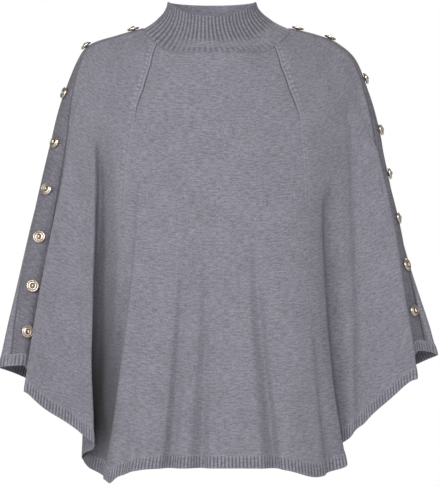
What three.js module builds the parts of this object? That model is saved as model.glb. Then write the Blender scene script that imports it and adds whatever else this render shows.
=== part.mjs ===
// Knitted poncho sweater, worn shape with no wearer. Millimetres, +Z up, front towards -Y.
// The origin is the middle of the neck, at the height of the shoulder line.
// One smooth surface holds the whole cloth. Its two directions are:
//   around  0 front centre, 1 right placket, 2 back centre, 3 left placket, 4 front centre again
//   fall    0 neck seam, 1 hem edge
// Every piece is a closed wall between two copies of that surface.

import * as THREE from "three";

// Sizes that drive the part.
const cloth_thickness = 2;
const seam_gap = 0.3;
const band_gap = 0.7;
const band_gap_in_folds = 2.2;
const hem_band_height = 21.5;
const hem_rib_pitch = 6.4;
const hem_rib_height = 0.8;
const collar_rib_count = 70;
const collar_rib_height = 0.9;
const placket_width = 30;
const placket_lap = cloth_thickness + seam_gap;
const torso_half_width = 165;
const corner_drop = 14;
const back_slope_reach = 0.95;

// A panel's column spans this much cloth, or bends this far (radians).
const column_run = 25;
const column_bend = 0.45;

// The collar's top edge.
const collar_middle_x = -7.5;
const collar_half_width = 66;
const collar_front_depth = 50;
const collar_back_depth = 56;
const collar_front_height = 21;
const collar_back_height = 37.5;
const collar_side_height = 41.5;

// Button sizes.
const button_radius = 9;
const button_foot_radius = 2;
const button_foot_gap = 0.4;
const button_shank_height = 3.2;
const button_rim_height = 6.2;
const button_segments = 10;

function table(columns, rows) {
  return rows.map((row) => Object.fromEntries(columns.map((name, i) => [name, row[i]])));
}

// Half widths and heights of the two sides, a row per section from the neck to the hem.
// tip is how far forward the side lies.
const sides = table(
  ["fall", "left", "left_z", "right", "right_z", "tip"],
  [
    [0.0, 111, 0, 110, 0, 0],
    [0.06, 147, -10, 144, -8, 0],
    [0.147, 193, -27, 183, -24, 0],
    [0.205, 208, -49, 206, -46, -2],
    [0.274, 227, -97, 226, -97, -6],
    [0.4, 246, -171, 245, -169, -20],
    [0.6, 274, -282, 273, -275, -45],
    [0.8, 300, -396, 302, -384, -68],
    [1.0, 322, -500, 328, -479, -88],
  ],
);

// Depths and heights of the front and the back, on the same sections.
// The arm columns are the depths beside the torso, where the arms hold the cloth.
const depths = table(
  ["fall", "front", "front_z", "front_arm", "back", "back_z", "back_arm"],
  [
    [0.0, 80, -33, 80, 62, 10, 62],
    [0.06, 88, -70, 82, 74, -30, 70],
    [0.147, 102, -125, 84, 88, -88, 74],
    [0.205, 110, -161, 80, 96, -128, 70],
    [0.274, 120, -204, 72, 104, -174, 62],
    [0.4, 132, -281, 62, 110, -259, 56],
    [0.6, 142, -404, 60, 113, -393, 56],
    [0.8, 149, -527, 61, 118, -526, 58],
    [1.0, 153, -648, 62, 122, -656, 60],
  ],
);

// Plan angle of the placket's middle line, from the front centre.
const turns = table(
  ["fall", "left", "right"],
  [
    [0.0, 90, 92],
    [0.147, 90, 93],
    [0.274, 82, 89],
    [0.4, 76, 86],
    [0.6, 70, 79],
    [0.8, 66, 71],
    [1.0, 62.5, 65],
  ],
);

// Folds run down the cloth. at and wide are in units of the around direction, per side.
// gather draws the cloth together at the fold's mouth, depth pushes it in (minus is out),
// lean carries it sideways, away from that panel's centre.
const folds = table(
  ["side", "start", "at_top", "at_hem", "bend", "wide_top", "wide_hem", "gather", "depth", "lean", "power"],
  [
    ["left", 0.24, 0.7, 0.545, 0.32, 0.1, 0.13, 0.82, 50, 36, 0.5],
    ["left", 0.22, 0.86, 0.76, 1, 0.04, 0.05, 0.1, 5, 0, 0.5],
    ["left", 0.38, 0.4, 0.37, 1, 0.06, 0.06, 0.2, 6, 0, 0.8],
    ["left", 0.22, 0.93, 0.94, 1, 0.05, 0.07, 0.32, 9.5, 0, 0.5],
    ["left", 0.22, 0.86, 0.855, 1, 0.06, 0.105, 0, -12, 25, 1.2],
    ["right", 0.34, 0.65, 0.632, 0.5, 0.08, 0.09, 0.74, 34, -16, 0.7],
    ["right", 0.36, 1.03, 1.035, 1, 0.07, 0.1, 0.25, 18, -4, 0.7],
    ["right", 0.3, 0.86, 0.868, 1, 0.06, 0.104, 0, -14, 27, 0.7],
    ["right", 0.2, 0.82, 0.74, 1, 0.04, 0.05, 0.1, 6, 0, 0.6],
    ["left", 0.5, 0.17, 0.17, 1, 0.04, 0.05, 0, 5, 0, 1],
    ["left", 0.5, 0.04, 0.06, 1, 0.04, 0.05, 0, 5, 0, 1],
    ["right", 0.46, 0.16, 0.19, 1, 0.04, 0.06, 0, 8, 0, 1],
    ["right", 0.76, 0.36, 0.4, 1, 0.02, 0.03, 0, 5, 0, 1],
    ["left", 0.4, 1.3, 1.34, 1, 0.05, 0.09, 0, 12, 0, 0.8],
    ["left", 0.5, 1.6, 1.62, 1, 0.05, 0.08, 0, 9, 0, 0.9],
    ["left", 0.45, 1.84, 1.86, 1, 0.05, 0.07, 0, 7, 0, 1],
    ["right", 0.4, 1.28, 1.3, 1, 0.05, 0.09, 0, 13, 0, 0.8],
    ["right", 0.48, 1.55, 1.58, 1, 0.05, 0.08, 0, 10, 0, 0.9],
    ["right", 0.5, 1.8, 1.82, 1, 0.05, 0.07, 0, 6, 0, 1],
  ],
);

// How far down each placket its buttons sit.
const button_falls = table(
  ["left", "right"],
  [
    [0.022, 0.018],
    [0.148, 0.112],
    [0.274, 0.245],
    [0.4, 0.368],
    [0.526, 0.49],
    [0.652, 0.616],
    [0.778, 0.742],
    [0.904, 0.875],
  ],
);

const clamp = (value, low, high) => Math.min(high, Math.max(low, value));

function smooth(value) {
  const t = clamp(value, 0, 1);
  return t * t * (3 - 2 * t);
}

// A smooth curve through one column of a table, read at the given fall.
function sizeAt(rows, column, fall) {
  const last = rows.length - 1;
  const step = (i) => rows[i + 1].fall - rows[i].fall;
  const rise = (i) => (rows[i + 1][column] - rows[i][column]) / step(i);
  const slope = (i) => {
    if (i === 0) return rise(0);
    if (i === last) return rise(last - 1);
    return (rise(i - 1) * step(i) + rise(i) * step(i - 1)) / (step(i) + step(i - 1));
  };
  let i = 0;
  while (i < last - 1 && fall > rows[i + 1].fall) i += 1;
  const h = step(i);
  const t = (fall - rows[i].fall) / h;
  const from_low = rows[i][column] * (1 + 2 * t) + slope(i) * h * t;
  const from_high = rows[i + 1][column] * (3 - 2 * t) + slope(i + 1) * h * (t - 1);
  return from_low * (1 - t) ** 2 + from_high * t * t;
}

// Rises from 0 to 1 in a straight line with a rounded start and end.
function ramp(value, begin, end) {
  const t = clamp(value, 0, 1);
  const peak = 1 / (1 - begin / 2 - end / 2);
  if (t < begin) return (peak * t * t) / (2 * begin);
  if (t < 1 - end) return peak * (t - begin / 2);
  return 1 - (peak * (1 - t) ** 2) / (2 * end);
}

// A fold's place, half width and strength at one fall.
function foldAt(fold, fall) {
  const along = clamp((fall - fold.start) / (1 - fold.start), 0, 1);
  const ease = smooth(along / 0.12);
  return {
    at: fold.at_top + (fold.at_hem - fold.at_top) * along ** fold.bend,
    wide: fold.wide_top + (fold.wide_hem - fold.wide_top) * along,
    strength: along ** fold.power * ease,
  };
}

// Distance round the open loop once every fold has drawn its cloth together.
function gathered(side, distance, fall) {
  let total = distance;
  for (const fold of folds.filter((row) => row.side === side)) {
    const { at, wide, strength } = foldAt(fold, fall);
    const t = clamp((distance - at) / wide, -1, 1);
    total -= fold.gather * strength ** 2 * wide * (t - t ** 7 / 7);
  }
  return total;
}

// Plan of the loop with no folds. angle is 0 at the front centre and PI at the back centre.
function planPoint(side, angle, fall) {
  const half = sizeAt(sides, side, fall);
  const across = Math.sin(angle);
  const along = Math.cos(angle);
  const x = half * across;
  const bell = (distance) => 1 / (1 + (distance / torso_half_width) ** 6);
  const torso = (bell(x) - bell(half)) / (1 - bell(half));
  const face = along > 0 ? "front" : "back";
  const arm = sizeAt(depths, face + "_arm", fall);
  const full = sizeAt(depths, face, fall);
  const depth = arm * Math.abs(along) + (full - arm) * torso;
  const forward = along > 0 ? -depth : depth;
  return [side === "right" ? x : -x, forward + sizeAt(sides, "tip", fall) * across ** 2];
}

// Plan angles at equal steps of one arc and the length reached at each of them.
const loop_steps = 120;
const measured_arcs = new Map();
function measuredArc(side, face, fall) {
  const key = side + face + fall.toFixed(6);
  if (measured_arcs.has(key)) return measured_arcs.get(key);
  const turn = THREE.MathUtils.degToRad(sizeAt(turns, side, fall));
  const from = face === "front" ? 0 : turn;
  const to = face === "front" ? turn : Math.PI;
  const angles = [];
  const lengths = [];
  let before = null;
  for (let i = 0; i <= loop_steps; i += 1) {
    const angle = from + ((to - from) * i) / loop_steps;
    const here = planPoint(side, angle, fall);
    const run = before ? Math.hypot(here[0] - before[0], here[1] - before[1]) : 0;
    angles.push(angle);
    lengths.push((lengths[i - 1] ?? 0) + run);
    before = here;
  }
  const arc = { angles, lengths, total: lengths[loop_steps] };
  measured_arcs.set(key, arc);
  return arc;
}

function angleAt(arc, share) {
  const wanted = clamp(share, 0, 1) * arc.total;
  let i = 0;
  while (i < loop_steps - 1 && arc.lengths[i + 1] < wanted) i += 1;
  const t = (wanted - arc.lengths[i]) / (arc.lengths[i + 1] - arc.lengths[i]);
  return arc.angles[i] + t * (arc.angles[i + 1] - arc.angles[i]);
}

// Which side a place round the body is on, and its distance from the front centre.
function sideOf(around) {
  const turn = ((around % 4) + 4) % 4;
  return turn <= 2 ? { side: "right", distance: turn } : { side: "left", distance: 4 - turn };
}

function loopAngle(side, distance, fall) {
  const g = gathered(side, distance, fall);
  const front = gathered(side, 0, fall);
  const placket = gathered(side, 1, fall);
  const back = gathered(side, 2, fall);
  if (distance <= 1) {
    return angleAt(measuredArc(side, "front", fall), (g - front) / (placket - front));
  }
  return angleAt(measuredArc(side, "back", fall), (g - placket) / (back - placket));
}

function heightAt(side, distance, fall) {
  const from_placket = Math.abs(1 - distance);
  const reach = distance <= 1 ? 0.62 - 0.19 * fall : back_slope_reach;
  const middle = sizeAt(depths, distance <= 1 ? "front_z" : "back_z", fall);
  const edge = sizeAt(sides, side + "_z", fall);
  const begin = distance <= 1 ? 0.25 - 0.21 * fall : 0.3;
  const share = ramp(from_placket / reach, begin, 0.35 - 0.2 * fall);
  const corner = corner_drop * fall ** 4 * Math.exp(-(((distance - 0.42) / 0.11) ** 2));
  return edge + (middle - edge) * share - corner;
}

// A point of the cloth's outer face.
function clothPoint(around, fall) {
  const { side, distance } = sideOf(around);
  const angle = loopAngle(side, distance, fall);
  const here = planPoint(side, angle, fall);
  const ahead = planPoint(side, Math.min(angle + 0.001, Math.PI), fall);
  const behind = planPoint(side, Math.max(angle - 0.001, 0), fall);
  const run = Math.hypot(ahead[0] - behind[0], ahead[1] - behind[1]);
  const along = [(ahead[0] - behind[0]) / run, (ahead[1] - behind[1]) / run];
  const turn = side === "right" ? 1 : -1;
  const outward = [along[1] * turn, -along[0] * turn];
  let inset = 0;
  let shift = 0;
  for (const fold of folds.filter((row) => row.side === side)) {
    const { at, wide, strength } = foldAt(fold, fall);
    const t = clamp((distance - at) / wide, -1, 1);
    const swell = ((1 + Math.cos(Math.PI * t)) / 2) * strength;
    inset += swell * fold.depth;
    shift += swell * fold.lean;
  }
  return new THREE.Vector3(
    here[0] - outward[0] * inset + along[0] * shift,
    here[1] - outward[1] * inset + along[1] * shift,
    heightAt(side, distance, fall),
  );
}

// The collar rises from the neck seam (rise 0) to its top edge (rise 1).
function collarPoint(around, rise) {
  const { side, distance } = sideOf(around);
  const angle = loopAngle(side, distance, 0);
  const across = Math.sin(angle) * (side === "right" ? 1 : -1);
  const forward = Math.cos(angle);
  const low = clothPoint(around, 0);
  const depth = forward > 0 ? collar_front_depth : collar_back_depth;
  const middle_height = forward > 0 ? collar_front_height : collar_back_height;
  const top = new THREE.Vector3(
    collar_middle_x + collar_half_width * across,
    -depth * forward,
    middle_height + (collar_side_height - middle_height) * Math.abs(across) ** 2.6,
  );
  const inward = 1 - (1 - rise) ** 2;
  return new THREE.Vector3(
    low.x + (top.x - low.x) * inward,
    low.y + (top.y - low.y) * inward,
    low.z + (top.z - low.z) * rise,
  );
}

// Outward direction of a surface, from its own slopes.
function outwardOf(surface, around, level, upward) {
  const step = 0.0015;
  const top = Math.max(level - step, 0);
  const low = Math.min(level + step, 1);
  const right = surface(around + step, level).sub(surface(around - step, level));
  const down = surface(around, low).sub(surface(around, top));
  const normal = down.cross(right).normalize();
  return upward ? normal.negate() : normal;
}

function clothOffset(around, fall, offset) {
  const normal = outwardOf(clothPoint, around, fall, false);
  return clothPoint(around, fall).addScaledVector(normal, offset);
}

function collarOffset(around, rise, offset) {
  const normal = outwardOf(collarPoint, around, rise, true);
  return collarPoint(around, rise).addScaledVector(normal, offset);
}

// Closed wall between an outer and an inner grid of points. The grids run down, then round.
function wall(name, outer, inner, looped, finish) {
  const rows = outer.length;
  const columns = outer[0].length;
  const points = [...outer.flat(), ...inner.flat()];
  const at = (face, row, column) => face * rows * columns + row * columns + (column % columns);
  const faces = [];
  const quad = (a, b, c, d) => faces.push([a, b, c], [a, c, d]);
  const spans = looped ? columns : columns - 1;
  for (let c = 0; c < spans; c += 1) {
    for (let r = 0; r < rows - 1; r += 1) {
      quad(at(0, r, c), at(0, r + 1, c), at(0, r + 1, c + 1), at(0, r, c + 1));
      quad(at(1, r, c), at(1, r, c + 1), at(1, r + 1, c + 1), at(1, r + 1, c));
    }
    quad(at(0, 0, c), at(0, 0, c + 1), at(1, 0, c + 1), at(1, 0, c));
    quad(at(0, rows - 1, c), at(1, rows - 1, c), at(1, rows - 1, c + 1), at(0, rows - 1, c + 1));
  }
  if (!looped) {
    const end = columns - 1;
    for (let r = 0; r < rows - 1; r += 1) {
      quad(at(0, r, 0), at(1, r, 0), at(1, r + 1, 0), at(0, r + 1, 0));
      quad(at(0, r, end), at(0, r + 1, end), at(1, r + 1, end), at(1, r, end));
    }
  }
  return solid(name, points, faces, finish);
}

function solid(name, points, faces, finish) {
  const geometry = new THREE.BufferGeometry();
  const numbers = points.flatMap((p) => [p.x, p.y, p.z]);
  geometry.setAttribute("position", new THREE.Float32BufferAttribute(numbers, 3));
  geometry.setIndex(faces.flat());
  geometry.computeVertexNormals();
  const mesh = new THREE.Mesh(geometry, new THREE.MeshStandardMaterial(finish));
  mesh.name = name;
  return mesh;
}

const steps = (count) => Array.from({ length: count + 1 }, (_, i) => i / count);

// Splits a range into shares of equal sums.
function sharesOf(fine, sums, count) {
  const whole = sums[sums.length - 1];
  let i = 0;
  return steps(count).map((t) => {
    while (i < sums.length - 2 && sums[i + 1] < t * whole) i += 1;
    const part = clamp((t * whole - sums[i]) / (sums[i + 1] - sums[i]), 0, 1);
    return fine[i] + part * (fine[i + 1] - fine[i]);
  });
}

// Places round the cloth, closer together where the cloth bends.
function columnsBetween(from, to, count) {
  const fine = steps(900).map((t) => from + (to - from) * t);
  const sums = fine.map(() => 0);
  for (const fall of [0.45, 0.7, 0.97]) {
    const line = fine.map((around) => clothPoint(around, fall).setZ(0));
    let total = 0;
    for (let i = 1; i < fine.length; i += 1) {
      const run = line[i].clone().sub(line[i - 1]);
      const next = line[Math.min(i + 1, fine.length - 1)].clone().sub(line[i]);
      const bend = next.length() > 0 ? run.angleTo(next) : 0;
      total += run.length() / column_run + bend / column_bend;
      sums[i] += total;
    }
  }
  return sharesOf(fine, sums, count);
}

// Places round the cloth at equal lengths of cloth, measured at one fall.
function evenlyRound(from, to, fall, pitch) {
  const fine = steps(1600).map((t) => from + (to - from) * t);
  const sums = [0];
  let before = clothPoint(fine[0], fall);
  for (let i = 1; i < fine.length; i += 1) {
    const here = clothPoint(fine[i], fall);
    sums.push(sums[i - 1] + here.distanceTo(before));
    before = here;
  }
  const count = 2 * Math.round(sums[sums.length - 1] / pitch);
  return sharesOf(fine, sums, count);
}

// Half the placket's width, in units of the around direction.
function placketShare(side, fall, width) {
  const middle = side === "right" ? 1 : 3;
  const probe = 0.004;
  const run = clothPoint(middle + probe, fall).distanceTo(clothPoint(middle - probe, fall));
  return (width / 2) * ((2 * probe) / run);
}

// How far the front stands out, so that it ends level with the placket over the back's edge.
function lapAt(side, distance, fall) {
  const share = placketShare(side, fall, placket_width);
  return placket_lap * smooth((distance - (1 - share) + 0.05) / 0.045);
}

// The hem band's top as a share of the fall. The cloth falls about this far.
const cloth_fall = 640;
const band_top = 1 - hem_band_height / cloth_fall;

// A panel stops this share of the fall above the hem band, a little more in the deep folds.
function bandClear(around) {
  const { side, distance } = sideOf(around);
  let nearness = 0;
  for (const fold of folds.filter((row) => row.side === side && Math.abs(row.depth) > 9)) {
    const away = Math.abs(distance - fold.at_hem) / fold.wide_hem;
    nearness = Math.max(nearness, smooth((1.5 - away) / 0.4));
  }
  return (band_gap + band_gap_in_folds * nearness) / cloth_fall;
}

const yarn = { color: 0x8b8994, roughness: 0.95, metalness: 0, side: THREE.DoubleSide };
const yarn_dark = { color: 0x7b7a84, roughness: 0.95, metalness: 0, side: THREE.DoubleSide };
const pale_gold = { color: 0xcbb292, roughness: 0.25, metalness: 1 };

// Rows shared by the front, the back and the plackets, so that they stay parallel.
const panel_levels = [0, 0.06, 0.12, 0.18, 0.25, 0.33, 0.42, 0.52, 0.63, 0.74, 0.83, 0.92, 1];
const neck_clear = 0.0009;
function panelRows(columnsAt, pointAt) {
  return panel_levels.map((level) => {
    const fall = neck_clear + level * (band_top - neck_clear);
    return columnsAt(fall).map((around) => {
      const clear = level === 1 ? bandClear(around) : 0;
      return pointAt(around, fall - clear);
    });
  });
}

// The front: its edges stand level with the plackets.
function frontWall() {
  const shares = columnsBetween(-1, 1, 96);
  const edge = (side, fall) => 1 - placketShare(side, fall, placket_width + 2 * seam_gap);
  const columnsAt = (fall) => {
    const left = edge("left", fall);
    const right = edge("right", fall);
    return shares.map((share) => share * (share < 0 ? left : right));
  };
  const grid = (inset) =>
    panelRows(columnsAt, (around, fall) => {
      const { side, distance } = sideOf(around);
      return clothOffset(around, fall, lapAt(side, distance, fall) - inset);
    });
  return wall("front", grid(0), grid(cloth_thickness), false, yarn);
}

// The back, which runs on under both plackets with the same columns as theirs.
function backWall() {
  const middle_steps = columnsBetween(1.03, 2.97, 38).map((around) => (around - 1.03) / 1.94);
  const columnsAt = (fall) => {
    const right = placketShare("right", fall, placket_width);
    const left = placketShare("left", fall, placket_width);
    const middle = middle_steps.slice(1, -1).map((t) => 1 + right + t * (2 - right - left));
    return [...placketColumns("right", fall), ...middle, ...placketColumns("left", fall)];
  };
  const grid = (inset) => panelRows(columnsAt, (around, fall) => clothOffset(around, fall, -inset));
  return wall("back", grid(0), grid(cloth_thickness), false, yarn);
}

function placketColumns(side, fall) {
  const middle = side === "right" ? 1 : 3;
  const share = placketShare(side, fall, placket_width);
  return steps(4).map((t) => middle + (2 * t - 1) * share);
}

// Each placket lies on the back's edge, level with the front.
function placket(name, side) {
  const columnsAt = (fall) => placketColumns(side, fall);
  const grid = (inset) =>
    panelRows(columnsAt, (around, fall) => clothOffset(around, fall, placket_lap - inset));
  return wall(name, grid(0), grid(cloth_thickness), false, yarn_dark);
}

// The hem bands, with ribs raised in the outer face.
function hemBand(name, from, to, lapped) {
  const places = evenlyRound(from, to, 1, hem_rib_pitch);
  const grid = (inset, ribbed) =>
    [band_top, 1].map((fall) =>
      places.map((around, i) => {
        const { side, distance } = sideOf(around);
        const share = placketShare(side, fall, placket_width);
        const lift = lapped ? lapAt(side, distance, fall) : 0;
        const open = lapped ? 1 : smooth((distance - (1 + share)) / 0.02);
        const rib = ribbed && i % 2 === 1 ? hem_rib_height * open : 0;
        return clothOffset(around, fall, lift + rib - inset);
      }),
    );
  return wall(name, grid(0, true), grid(cloth_thickness, false), false, yarn_dark);
}

const edge_share = (side) => placketShare(side, 1, placket_width - 1);
const hem_front = hemBand("hem_front", -1 - edge_share("left"), 1 + edge_share("right"), true);
const hem_back = hemBand("hem_back", 1 - edge_share("right"), 3 + edge_share("left"), false);

// The ribbed collar. Its rows run down, from the top edge to the neck seam.
function collarWall() {
  const rises = [1, 0.7, 0.42, 0.2, 0.012];
  const count = 2 * collar_rib_count;
  const grid = (inset, ribbed) =>
    rises.map((rise) =>
      steps(count)
        .slice(0, count)
        .map((t, i) => {
          const rib = ribbed && i % 2 === 1 ? collar_rib_height * smooth((rise - 0.05) / 0.3) : 0;
          return collarOffset(4 * t, rise, rib - inset);
        }),
    );
  return wall("collar", grid(0, true), grid(cloth_thickness, false), true, yarn_dark);
}

// The place on a placket's outer face at one fall, and the way that face looks.
function placketSpot(side, fall) {
  const middle = side === "right" ? 1 : 3;
  const falls = panel_levels.map((level) => neck_clear + level * (band_top - neck_clear));
  const next = falls.findIndex((row) => row > fall);
  const high = clothOffset(middle, falls[next - 1], placket_lap);
  const low = clothOffset(middle, falls[next], placket_lap);
  const down = low.clone().sub(high);
  const across = clothPoint(middle + 0.01, fall).sub(clothPoint(middle - 0.01, fall));
  const part = (fall - falls[next - 1]) / (falls[next] - falls[next - 1]);
  return { spot: high.lerp(low, part), normal: down.cross(across).normalize() };
}

// A domed button with a raised rim on a short shank, turned about its own axis.
function button(name, side, fall) {
  const profile = [
    [button_foot_radius, 0],
    [button_foot_radius + 1, button_shank_height],
    [button_radius - 1.4, button_shank_height + 0.2],
    [button_radius, button_shank_height + 1.2],
    [button_radius - 1, button_rim_height],
    [button_radius - 2.6, button_rim_height - 1.4],
  ];
  const { spot, normal } = placketSpot(side, fall);
  const foot = spot.addScaledVector(normal, button_foot_gap);
  const across = new THREE.Vector3(0, 0, 1).cross(normal).normalize();
  const upright = normal.clone().cross(across);
  const place = (radius, height, angle) =>
    foot
      .clone()
      .addScaledVector(normal, height)
      .addScaledVector(across, radius * Math.cos(angle))
      .addScaledVector(upright, radius * Math.sin(angle));
  const points = [place(0, 0, 0), place(0, button_rim_height - 0.6, 0)];
  for (const [radius, height] of profile) {
    for (let s = 0; s < button_segments; s += 1) {
      points.push(place(radius, height, (2 * Math.PI * s) / button_segments));
    }
  }
  const at = (ring, s) => 2 + ring * button_segments + (s % button_segments);
  const faces = [];
  const last = profile.length - 1;
  for (let s = 0; s < button_segments; s += 1) {
    faces.push([0, at(0, s + 1), at(0, s)]);
    for (let ring = 0; ring < last; ring += 1) {
      faces.push([at(ring, s), at(ring, s + 1), at(ring + 1, s + 1)]);
      faces.push([at(ring, s), at(ring + 1, s + 1), at(ring + 1, s)]);
    }
    faces.push([1, at(last, s), at(last, s + 1)]);
  }
  return solid(name, points, faces, pale_gold);
}

const group = new THREE.Group();
group.add(frontWall(), backWall(), collarWall(), hem_front, hem_back);
group.add(placket("placket_left", "left"), placket("placket_right", "right"));
button_falls.forEach((row, i) => {
  group.add(button("button_left_" + (i + 1), "left", row.left));
  group.add(button("button_right_" + (i + 1), "right", row.right));
});

export default group;
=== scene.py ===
"""The looks of a knitted poncho sweater, filled out as worn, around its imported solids."""

import math

import bmesh
import bpy
import numpy as np
from mathutils import Matrix, Vector


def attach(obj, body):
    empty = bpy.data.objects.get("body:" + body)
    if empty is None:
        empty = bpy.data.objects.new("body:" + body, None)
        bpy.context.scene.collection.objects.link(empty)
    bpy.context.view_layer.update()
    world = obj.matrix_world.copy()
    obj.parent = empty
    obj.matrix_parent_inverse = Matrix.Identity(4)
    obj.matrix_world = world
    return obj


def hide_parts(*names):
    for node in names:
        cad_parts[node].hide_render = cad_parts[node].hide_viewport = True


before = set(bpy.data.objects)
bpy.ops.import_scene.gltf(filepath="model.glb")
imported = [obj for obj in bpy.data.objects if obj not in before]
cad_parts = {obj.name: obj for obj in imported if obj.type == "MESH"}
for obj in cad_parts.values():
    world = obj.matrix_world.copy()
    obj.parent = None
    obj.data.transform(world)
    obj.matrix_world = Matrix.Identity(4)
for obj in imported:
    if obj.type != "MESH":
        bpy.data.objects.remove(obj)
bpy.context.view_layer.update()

# The garment is worked out in millimetres, and its meshes end up in metres.
MM = 0.001

CLOTH_THICKNESS = 2.0
PLACKET_WIDTH = 30.0
PLACKET_LAP = 2.3
PLACKET_PROBE = 0.004
LAP_START = 0.05
LAP_RUN = 0.045
HEM_BAND_HEIGHT = 21.5
CLOTH_FALL = 640.0
BAND_TOP = 1 - HEM_BAND_HEIGHT / CLOTH_FALL
TORSO_HALF_WIDTH = 165.0
ANGLE_STEP = 0.001

# Places round the cloth: 0 is the front centre, 1 the right placket, 2 the back centre and
# 3 the left placket. Falls run from 0 at the neck seam to 1 at the hem's edge.
PLACKETS = {"right": 1, "left": 3}

COLLAR_RIBS = 70
COLLAR_RIB_HEIGHT = 1.1
COLLAR_TOP_SHIFT = -7.5
COLLAR_TOP_HALF_WIDTH = 66.0
COLLAR_TOP_DEPTH_FRONT = 50.0
COLLAR_TOP_DEPTH_BACK = 56.0
COLLAR_HEIGHT_FRONT = 17.5
COLLAR_HEIGHT_SIDE = 41.5
COLLAR_HEIGHT_BACK = 40.0
COLUMNS_PER_COLLAR_RIB = 8

RIB_PITCH = 5.4
HEM_RIB_HEIGHT = 0.8
COLUMNS_PER_HEM_RIB = 6

# The knit's columns and courses, and the stitching seen on it.
JERSEY_WALE = 1.7
JERSEY_COURSE = 1.3
CORD_DISTANCE = 2.6
EYELET_DISTANCE = 9.0
EYELET_PITCH = 7.5
PLACKET_RIB_PITCH = 2.1
SEWING_PITCH = 2.6

BUTTON_SEGMENTS = 60
BUTTON_BEADS = 20
BUTTON_FLUTES = 6
BOSS_RADIUS = 5.0
BOSS_EDGE = 1.8
BOSS_NARROWING = 0.66
THREAD_SIDES = 6
RING_SEGMENTS = 40
RING_TWISTS = 24
SPOT_STEP = 0.01

# The camera stands five metres in front, with 1.5 mm of the garment to a pixel of the photo.
CAMERA_DISTANCE = 5.0
CAMERA_SENSOR = 36
VIEW_HEIGHT = 0.729
VIEW_X = 0.0045
VIEW_Z = -0.32
FLOOR_Z = -0.95


def table(names, rows):
    """A short table, read by the names of its columns."""
    return dict(zip(names.split(), np.array(rows, float).T))


# How far the cloth reaches out to each side, how high it is there, and how far back.
SIDES = table(
    "fall left left_z right right_z tip",
    [
        (0.0, 111, 0, 110, 0, 0),
        (0.06, 147, -10, 144, -8, 0),
        (0.147, 193, -27, 183, -24, 0),
        (0.205, 208, -49, 206, -46, -2),
        (0.274, 227, -97, 226, -97, -6),
        (0.4, 246, -171, 245, -169, -20),
        (0.6, 274, -282, 273, -275, -45),
        (0.8, 300, -396, 302, -384, -68),
        (1.0, 322, -500, 328, -479, -88),
    ],
)

# How far the cloth lies ahead of and behind the middle, at the torso and along the arms, and
# how high its front and back centres are.
DEPTHS = table(
    "fall front front_z front_arm back back_z back_arm",
    [
        (0.0, 80, -37, 80, 62, 10, 62),
        (0.06, 88, -73, 82, 74, -30, 70),
        (0.147, 102, -125, 84, 88, -88, 74),
        (0.205, 110, -161, 80, 96, -128, 70),
        (0.274, 120, -204, 72, 104, -174, 62),
        (0.4, 132, -281, 62, 110, -259, 56),
        (0.6, 142, -404, 60, 113, -393, 56),
        (0.8, 149, -527, 61, 118, -526, 58),
        (1.0, 153, -648, 62, 122, -656, 60),
    ],
)

# The way each placket faces in plan, in degrees from the front.
TURNS = table(
    "fall left right",
    [
        (0.0, 90, 92),
        (0.147, 90, 93),
        (0.274, 82, 89),
        (0.4, 76, 86),
        (0.6, 70, 79),
        (0.8, 66, 71),
        (1.0, 62.5, 65),
    ],
)


def fold_list(rows):
    """One side's folds. Places and half widths run from the fold's start to the hem. gather
    draws cloth together, depth pushes it in and lean pushes it away from the front centre."""
    names = "start at_top at_hem bend wide_top wide_hem gather depth lean power"
    return [dict(zip(names.split(), row)) for row in rows]


FOLDS = {
    "left": fold_list([
        (0.24, 0.71, 0.556, 0.6, 0.08, 0.14, 0.82, 56, 74, 0.65),
        (0.28, 0.455, 0.485, 1, 0.04, 0.035, 0, 13, -2, 0.6),
        (0.22, 0.86, 0.76, 1, 0.04, 0.05, 0.1, 5, 0, 0.5),
        (0.38, 0.4, 0.37, 1, 0.06, 0.06, 0.2, 6, 0, 0.8),
        (0.22, 0.93, 0.945, 1, 0.05, 0.075, 0.32, 12, 0, 0.5),
        (0.22, 0.86, 0.855, 1, 0.06, 0.105, 0, -12, 37, 0.8),
        (0.46, 0.17, 0.17, 1, 0.03, 0.04, 0, 15, 0, 0.8),
        (0.46, 0.055, 0.065, 1, 0.03, 0.042, 0, 13, -3, 0.8),
        (0.6, 0.27, 0.25, 1, 0.03, 0.04, 0, -3, 3, 1),
        (0.4, 1.3, 1.34, 1, 0.05, 0.09, 0, 12, 0, 0.8),
        (0.5, 1.6, 1.62, 1, 0.05, 0.08, 0, 9, 0, 0.9),
        (0.45, 1.84, 1.86, 1, 0.05, 0.07, 0, 7, 0, 1),
    ]),
    "right": fold_list([
        (0.34, 0.65, 0.632, 0.5, 0.08, 0.09, 0.74, 34, -16, 0.7),
        (0.36, 1.03, 1.035, 1, 0.07, 0.1, 0.25, 18, -2, 0.7),
        (0.3, 0.86, 0.868, 1, 0.06, 0.104, 0, -13, 37, 0.26),
        (0.2, 0.82, 0.74, 1, 0.04, 0.05, 0.1, 6, 0, 0.6),
        (0.42, 0.18, 0.225, 1, 0.035, 0.05, 0, 17, 4, 0.8),
        (0.6, 0.48, 0.495, 1, 0.03, 0.04, 0, 9, 0, 1),
        (0.7, 0.56, 0.565, 1, 0.04, 0.06, 0, -2, 7, 2),
        (0.4, 1.28, 1.3, 1, 0.05, 0.09, 0, 13, 0, 0.8),
        (0.48, 1.55, 1.58, 1, 0.05, 0.08, 0, 10, 0, 0.9),
        (0.5, 1.8, 1.82, 1, 0.05, 0.07, 0, 6, 0, 1),
    ]),
}

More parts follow.
